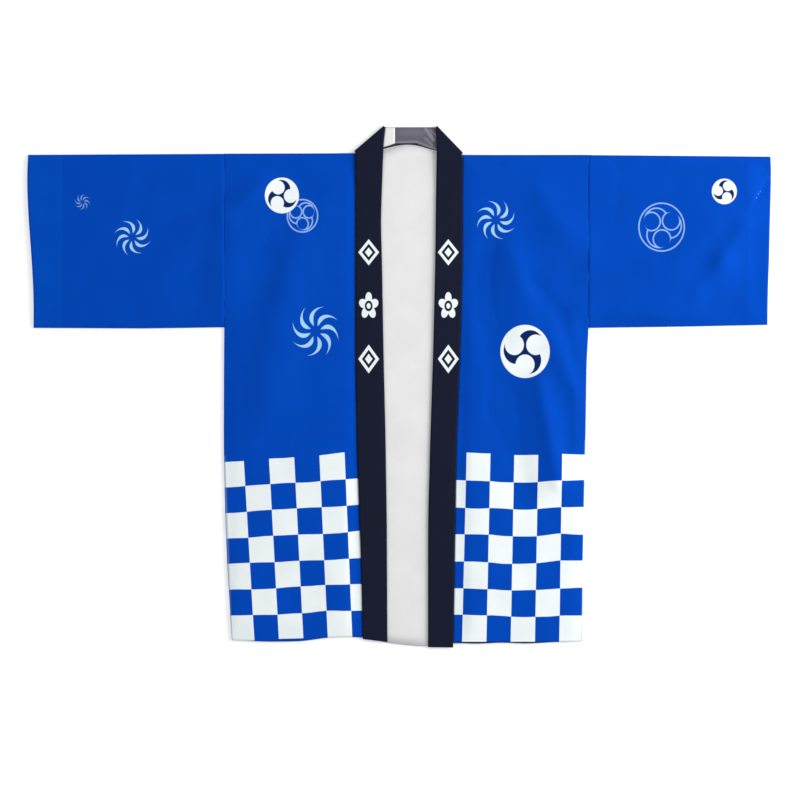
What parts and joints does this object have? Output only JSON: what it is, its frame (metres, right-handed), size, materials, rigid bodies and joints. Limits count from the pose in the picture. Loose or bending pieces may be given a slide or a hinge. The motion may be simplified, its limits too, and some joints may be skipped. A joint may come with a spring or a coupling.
{
  "type": "happi coat",
  "caption": "Straight-cut happi coat laid flat, front up, with wide sleeves, a dark band collar and a checked hem.",
  "frame": {"origin": "middle of the coat's outline, on the surface that it lies on", "axes": "+X across towards the wearer's left sleeve, +Y from the hem up to the collar, +Z out of the front of the coat"},
  "size_m": [1.2338, 0.8658, 0.0163],
  "materials": {
    "blue_cloth": "matte",
    "collar_cloth": "satin",
    "label_cloth": "matte"
  },
  "bodies": {
    "root": {"back_panel": "blue_cloth", "front_right": "blue_cloth", "front_left": "blue_cloth", "sleeve_right": "blue_cloth", "sleeve_left": "blue_cloth", "collar": "collar_cloth", "size_label": "label_cloth"}
  },
  "joints": []
}
